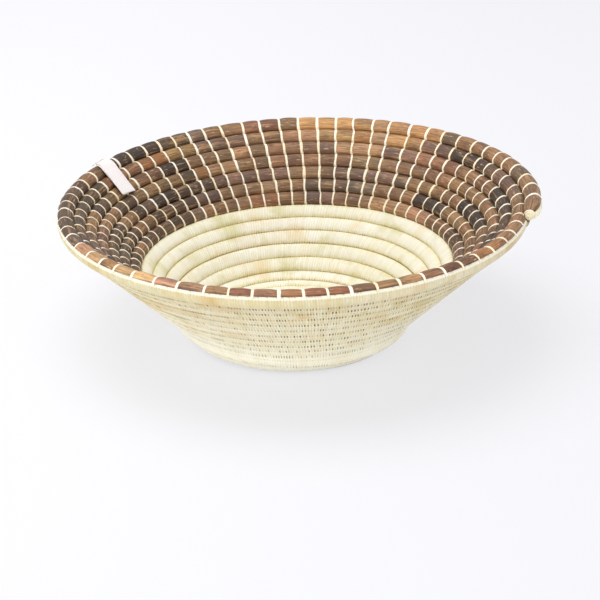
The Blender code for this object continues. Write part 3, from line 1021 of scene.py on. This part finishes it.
def cloth_line(seat):
    """Columns down the cloth's middle, from the end of the under layer over the fold to the end
    of the upper one: up, off, distance from the fold, and 0 for under or 1 for upper."""
    low = seat + LABEL_CLEARANCE + CLOTH_THICKNESS / 2 + CLOTH_MARGIN
    high = low + LABEL_THICKNESS - CLOTH_THICKNESS - 2 * CLOTH_MARGIN
    top = radians(LABEL_TOP_ANGLE)
    angle = np.radians(np.linspace(-FOLD_ANGLE, FOLD_ANGLE, FOLD_STEPS)) - top
    bend, half = (low + high) / 2, (high - low) / 2
    fold_up = bend * sin(top) + half * np.cos(angle)
    fold_off = bend * cos(top) + half * np.sin(angle)
    under, upper = label_line(low, LABEL_LENGTH - UNDER_SHORTER), label_line(high, LABEL_LENGTH)
    fold = (fold_up, fold_off, np.zeros(FOLD_STEPS))
    share = [np.zeros(CLOTH_STEPS), np.linspace(0, 1, FOLD_STEPS), np.ones(CLOTH_STEPS)]
    lines = [np.concatenate([a[::-1], b, c]) for a, b, c in zip(under, fold, upper)]
    return [line[:, None] for line in (*lines, np.concatenate(share))]


def make_label_cloth(material):
    middle, axes, seat = label_axes()
    up, off, run, upper = cloth_line(seat)
    _, out_up, out_off = across_path(up, off)
    steps = np.hypot(np.diff(up, axis=0), np.diff(off, axis=0))
    length = np.concatenate([[[0]], np.cumsum(steps, axis=0)])
    slope = np.tan(np.radians(UNDER_TURN + upper * (UPPER_TURN - UNDER_TURN)))
    columns = np.linspace(-1, 1, CLOTH_COLUMNS)
    width = columns * LABEL_WIDTH / 2
    across = width - (run - LABEL_LENGTH / 2) * slope
    # Each end is cut square to its own layer, so turning it also slides it along
    slide = -slope * width * np.clip(run / TURN_STARTS, 0, 1)
    ripple = CLOTH_RIPPLE * np.sin(columns * 2.4 + 0.6) * np.clip(run / RIPPLE_STARTS, 0, 1)
    raised = upper * (CLOTH_LIFT * (run / LABEL_LENGTH) ** 2 + ripple)
    faces = [
        np.stack((across, up + thick * out_up + slide, off + thick * out_off + raised), -1)
        for thick in (CLOTH_THICKNESS / 2, -CLOTH_THICKNESS / 2)
    ]
    loop = np.concatenate([faces[0], faces[1][:, ::-1]], 1)
    both = np.concatenate([width, width[::-1]])
    cloth = np.stack(np.broadcast_arrays(both, length, 0.0), -1)
    tubes = [(loop @ axes + middle, {"cloth": cloth})]
    label = make_piece("label_cloth", material, tubes, "label")
    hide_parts("label")


def thread_tube(line, radius, number):
    """A round thread along this line, and what strand_look reads from it."""
    step = np.gradient(line, axis=0)
    step /= np.linalg.norm(step, axis=1, keepdims=True)
    side = np.cross(step, np.array((0.3, 0.2, 1.0)))
    side /= np.linalg.norm(side, axis=1, keepdims=True)
    other = np.cross(step, side)
    ring = RING[:, None]
    tube = line[:, None] + radius * (np.cos(ring) * side[:, None] + np.sin(ring) * other[:, None])
    return tube, strand_values(np.linspace(0, 0.01, len(line)), number)


def make_label_stitches(material):
    """Small overcast stitches from the rim's bark to the sewn edge, over a thread beside it."""
    middle, axes, seat = label_axes()
    rng = np.random.default_rng(11)
    reach = seat + LABEL_CLEARANCE + SEWING_ROOM
    beyond = radians(LABEL_TOP_ANGLE) + (LABEL_THICKNESS / 2 + ROW_GAP + SEWING_ROOM) / reach
    shift = LABEL_LENGTH / 2 * tan(radians(UPPER_TURN)) * SEWING_SHARE
    laid = np.linspace(-1, 1, LAID_STATIONS) * (LABEL_WIDTH / 2 - 0.0003) + shift
    laid_up = reach * sin(beyond) + 0.0001 * np.sin(laid * 1400)
    laid_off = np.full(LAID_STATIONS, reach * cos(beyond))
    threads = [(np.stack((laid, laid_up, laid_off), -1), LAID_RADIUS)]
    turn = beyond + np.linspace(0.16, -0.26, STITCH_STATIONS)
    hump = np.sin(np.linspace(0, pi, STITCH_STATIONS)) * STITCH_HUMP - STITCH_SUNK
    for x in np.linspace(-0.8, 0.8, SEWN_STITCHES) * LABEL_WIDTH / 2 + shift:
        x = x + rng.normal(0, 0.0002) + np.linspace(-0.0003, 0.0003, STITCH_STATIONS)
        stitch = np.stack((x, (reach + hump) * np.sin(turn), (reach + hump) * np.cos(turn)), -1)
        threads.append((stitch, SEWN_RADIUS))
    tubes = []
    for number, (line, radius) in enumerate(threads):
        tube, values = thread_tube(line, radius, 900.0 + number)
        tubes.append((tube @ axes + middle, values))
    stitches = make_piece("label_stitches", material, tubes)
    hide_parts("label_thread")


raffia, bark = raffia_look(), bark_look()
tie = strand_look("raffia_ties", srgb(254, 245, 224), srgb(252, 234, 202), 4.0)
thread = strand_look("cotton_thread", srgb(240, 234, 220), srgb(226, 214, 192), 2.0)
make_start(raffia)
for number in range(1, TOTAL_ROWS + 1):
    make_raffia_row(number, raffia)
make_rim_wraps(raffia)
make_rim_ties(tie)
for number in range(FIRST_BARK_ROW, TOTAL_ROWS + 1):
    make_bark_row(number, bark)
    make_ties(number, tie)
make_label_cloth(cloth_look())
make_label_stitches(thread)


# Floor, light and camera

FLOOR_GLOW = 0.70  # how much of the floor's own colour the camera sees whatever falls on it
FLOOR_REACH = 25.0
WORLD_LIGHT, WORLD_SEEN = 0.76, 0.872


def make_floor():
    look = Look("floor")
    place = look.split(look.node("TexCoord").outputs["Object"])
    # painted shade: the floor is a little darker towards the right
    side = look.rise(place["X"], -0.30, 0.30)
    colour = look.layers(srgb(246, 246, 250), (side, srgb(240, 240, 244)))
    look.put(look.shader.inputs["Base Color"], colour)
    look.shader.inputs["Roughness"].default_value = 0.9
    look.shader.inputs["Specular IOR Level"].default_value = 0.0
    glow = look.node("Emission", {"Color": colour, "Strength": 1.0}).outputs["Emission"]
    rays = look.node("LightPath").outputs
    seen = look.math("MAXIMUM", rays["Is Camera Ray"], rays["Is Glossy Ray"])
    seen = look.math("MAXIMUM", seen, rays["Is Transmission Ray"])
    shaders = (look.times(seen, FLOOR_GLOW), look.shader.outputs["BSDF"], glow)
    surface = look.filled(look.node("MixShader"), shaders)
    look.put(look.tree.nodes["Material Output"].inputs["Surface"], surface)
    mesh = bpy.data.meshes.new("floor")
    reach = FLOOR_REACH
    corners = [(-reach, -reach, 0), (reach, -reach, 0), (reach, reach, 0), (-reach, reach, 0)]
    mesh.from_pydata(corners, [], [(0, 1, 2, 3)])
    mesh.materials.append(look.owner)
    floor = new_object("floor", mesh)


def make_lamp(name, place, aim, width, height, power):
    """An oval lamp, with its width and height in metres and its power in watts."""
    data = bpy.data.lights.new(name, "AREA")
    data.shape = "ELLIPSE"
    data.size, data.size_y = width, height
    data.energy = power
    lamp = new_object(name, data)
    lamp.location = place
    lamp.rotation_euler = (Vector(aim) - Vector(place)).to_track_quat("-Z", "Y").to_euler()


def make_light():
    world = bpy.data.worlds.new("studio")
    look = Look(world=world)
    look.shader.inputs["Color"].default_value = (0.97, 0.98, 1.0, 1)
    # Past the floor's edge the camera sees the floor's brightness, and the light stays as it is
    camera_ray = look.node("LightPath").outputs["Is Camera Ray"]
    strength = look.step(camera_ray, 0.0, 1.0, WORLD_LIGHT, WORLD_SEEN)
    look.put(look.shader.inputs["Strength"], strength)
    bpy.context.scene.world = world
    make_lamp("overhead", (-0.30, 0.10, 1.45), (0, 0, 0), 1.3, 1.3, 13.0)
    make_lamp("front", (-0.4, -1.6, 0.17), (0, 0, 0.03), 2.8, 0.30, 10.0)
    make_lamp("left", (-1.5, -0.5, 0.15), (0, 0, 0.03), 1.0, 0.25, 4.0)
    make_lamp("right", (1.5, -0.5, 0.15), (0, 0, 0.03), 1.0, 0.25, 2.5)


CAMERA_ELEVATION = 22.850
CAMERA_DISTANCE = 1.2395
CAMERA_TARGET = Vector((0, 0, 0.045))
CAMERA_ROLL = -0.476
FRAME = 600  # pixels across the picture
FOCAL_PIXELS = 1992.34
TARGET_PIXEL = (293.6, 263.3)


def make_camera():
    data = bpy.data.cameras.new("camera")
    data.sensor_width = 36
    data.lens = FOCAL_PIXELS / FRAME * data.sensor_width
    data.shift_x = (FRAME / 2 - TARGET_PIXEL[0]) / FRAME
    data.shift_y = (TARGET_PIXEL[1] - FRAME / 2) / FRAME
    data.clip_start, data.clip_end = 0.05, 60
    camera = new_object("camera", data)
    elevation = radians(CAMERA_ELEVATION)
    back = Vector((0, -cos(elevation), sin(elevation)))
    camera.location = CAMERA_TARGET + back * CAMERA_DISTANCE
    upright = Euler((pi / 2 - elevation, 0, 0)).to_matrix()
    roll = Matrix.Rotation(radians(CAMERA_ROLL), 3, "Z")
    camera.rotation_euler = (upright @ roll).to_euler()
    bpy.context.scene.camera = camera


make_floor()
make_light()
make_camera()
bpy.context.scene.view_settings.view_transform = "Standard"
